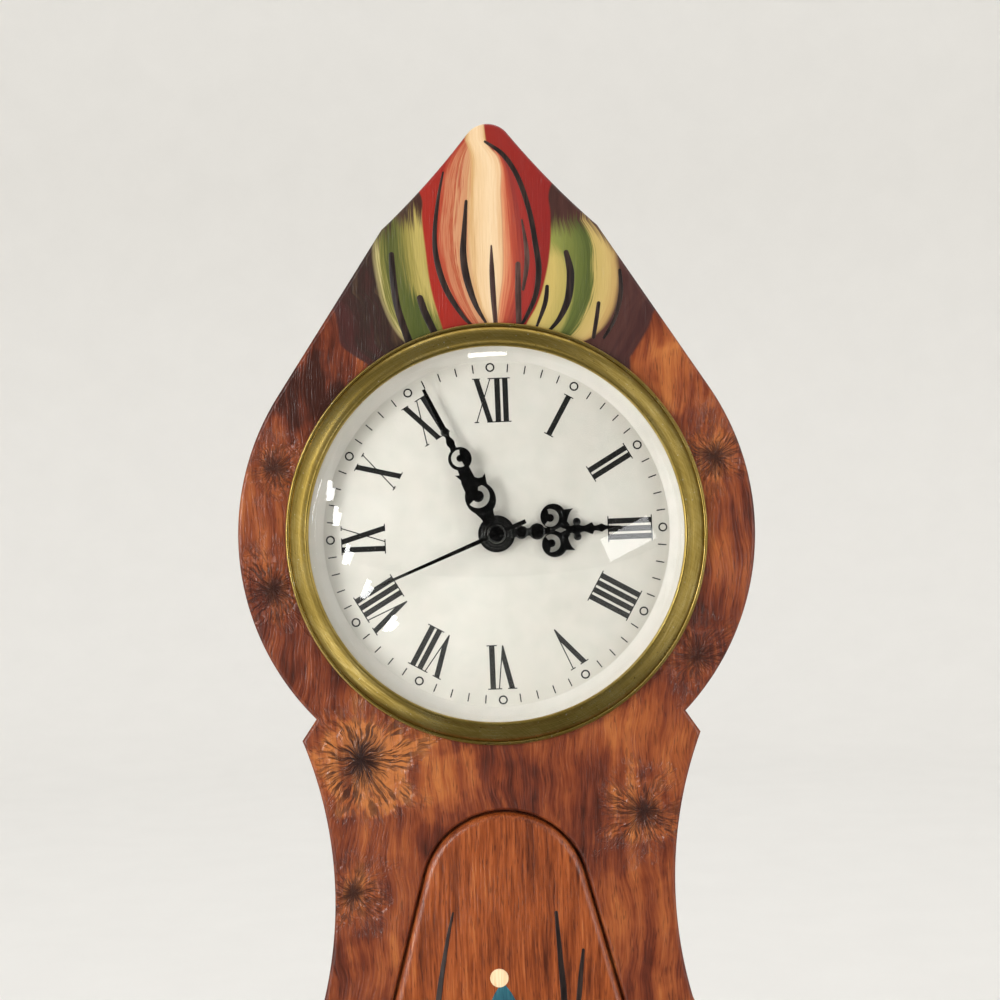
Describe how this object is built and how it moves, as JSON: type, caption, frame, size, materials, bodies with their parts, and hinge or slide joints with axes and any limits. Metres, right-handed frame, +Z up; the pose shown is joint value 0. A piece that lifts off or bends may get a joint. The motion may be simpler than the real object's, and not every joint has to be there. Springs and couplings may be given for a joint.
{
  "type": "table clock",
  "caption": "Curvy painted wooden table clock with pointed crest, round brass-rimmed dial, openwork hands and a battery gear movement reached from the back.",
  "frame": {"origin": "middle of the plinth's underside", "axes": "+Z up, the dial faces -Y, +X to the right of a viewer who looks at the dial"},
  "size_m": [0.124, 0.078, 0.318],
  "materials": {
    "painted_wood": "oil-painted faux burl under varnish",
    "panel_wood": "grained paint under varnish",
    "plinth_wood": "grained paint under varnish",
    "back_wood": "raw",
    "brass": "brushed cone, polished rim",
    "clear_glass": "polished",
    "pan_enamel": "satin",
    "dial_enamel": "matt",
    "rubber": "matt",
    "black_steel": "black lacquer",
    "black_plastic": "moulded",
    "steel": "zinc plated",
    "spring_steel": "nickel plated",
    "wheel_plastic": "natural moulded",
    "wheel_brass": "turned",
    "magnet": "sintered",
    "copper": "enamelled wire",
    "circuit_green": "solder resist",
    "battery_wrap": "dark wrap"
  },
  "bodies": {
    "case": {"front_board": "painted_wood", "waist_panel": "panel_wood", "crest_block": "painted_wood", "head_side_left": "painted_wood", "head_side_right": "painted_wood", "waist_side_left": "painted_wood", "waist_side_right": "painted_wood", "back_board": "back_wood", "back_screw_1": "steel", "back_screw_2": "steel", "back_screw_3": "steel", "back_screw_4": "steel", "foot_block_left": "back_wood", "foot_block_right": "back_wood", "plinth": "plinth_wood", "plinth_screw_left": "steel", "plinth_screw_right": "steel", "bezel": "brass", "dome_glass": "clear_glass", "dial_pan": "pan_enamel", "dial": "dial_enamel", "grip_ring": "rubber", "movement_front": "black_plastic", "movement_rear": "black_plastic", "movement_screw_left": "steel", "movement_screw_right": "steel", "train_plate": "steel", "stator": "steel", "coil": "copper", "circuit_board": "circuit_green", "crystal": "steel", "contact_plus": "spring_steel", "contact_minus": "spring_steel"},
    "minute": {"cannon_pinion": "wheel_brass", "minute_hand": "black_steel"},
    "hour": {"hour_wheel": "wheel_plastic", "hour_hand": "black_steel"},
    "setting": {"motion_wheel": "wheel_plastic", "set_knob": "black_plastic"},
    "seconds": {"second_wheel": "wheel_brass", "second_hand": "black_steel"},
    "third": {"third_wheel": "wheel_plastic"},
    "centre": {"centre_wheel": "wheel_plastic"},
    "intermediate": {"intermediate_wheel": "wheel_plastic"},
    "rotor": {"rotor": "magnet"},
    "cell": {"battery": "battery_wrap"}
  },
  "joints": [
    {"name": "minute_hand_turn", "type": "hinge", "parent": "case", "child": "minute", "pos_m": [0, -0.02, 0.2206], "axis": [0, 1, 0], "continuous": true},
    {"name": "hour_hand_turn", "type": "hinge", "parent": "case", "child": "hour", "pos_m": [0, -0.02, 0.2206], "axis": [0, 1, 0], "continuous": true},
    {"name": "set_knob_turn", "type": "hinge", "parent": "case", "child": "setting", "pos_m": [-0.00814, -0.02, 0.2253], "axis": [0, 1, 0], "continuous": true},
    {"name": "second_hand_turn", "type": "hinge", "parent": "case", "child": "seconds", "pos_m": [0, -0.02, 0.2206], "axis": [0, 1, 0], "continuous": true},
    {"name": "third_wheel_turn", "type": "hinge", "parent": "case", "child": "third", "pos_m": [0.00795, -0.02, 0.22519], "axis": [0, 1, 0], "continuous": true},
    {"name": "centre_wheel_turn", "type": "hinge", "parent": "case", "child": "centre", "pos_m": [0, -0.02, 0.2206], "axis": [0, 1, 0], "continuous": true},
    {"name": "intermediate_wheel_turn", "type": "hinge", "parent": "case", "child": "intermediate", "pos_m": [-0.00116, -0.02, 0.23005], "axis": [0, 1, 0], "continuous": true},
    {"name": "rotor_turn", "type": "hinge", "parent": "case", "child": "rotor", "pos_m": [0.00292, -0.02, 0.23712], "axis": [0, 1, 0], "continuous": true},
    {"name": "battery_slide", "type": "slide", "parent": "case", "child": "cell", "axis": [0, 1, 0], "range_m": [0, 0.05]}
  ],
  "couplings": [
    {"joint": "hour_hand_turn", "follows": "minute_hand_turn", "ratio": 0.083333},
    {"joint": "set_knob_turn", "follows": "minute_hand_turn", "ratio": -0.33333},
    {"joint": "third_wheel_turn", "follows": "second_hand_turn", "ratio": -0.13333},
    {"joint": "centre_wheel_turn", "follows": "second_hand_turn", "ratio": 0.016667},
    {"joint": "intermediate_wheel_turn", "follows": "second_hand_turn", "ratio": -6},
    {"joint": "rotor_turn", "follows": "second_hand_turn", "ratio": 30}
  ]
}
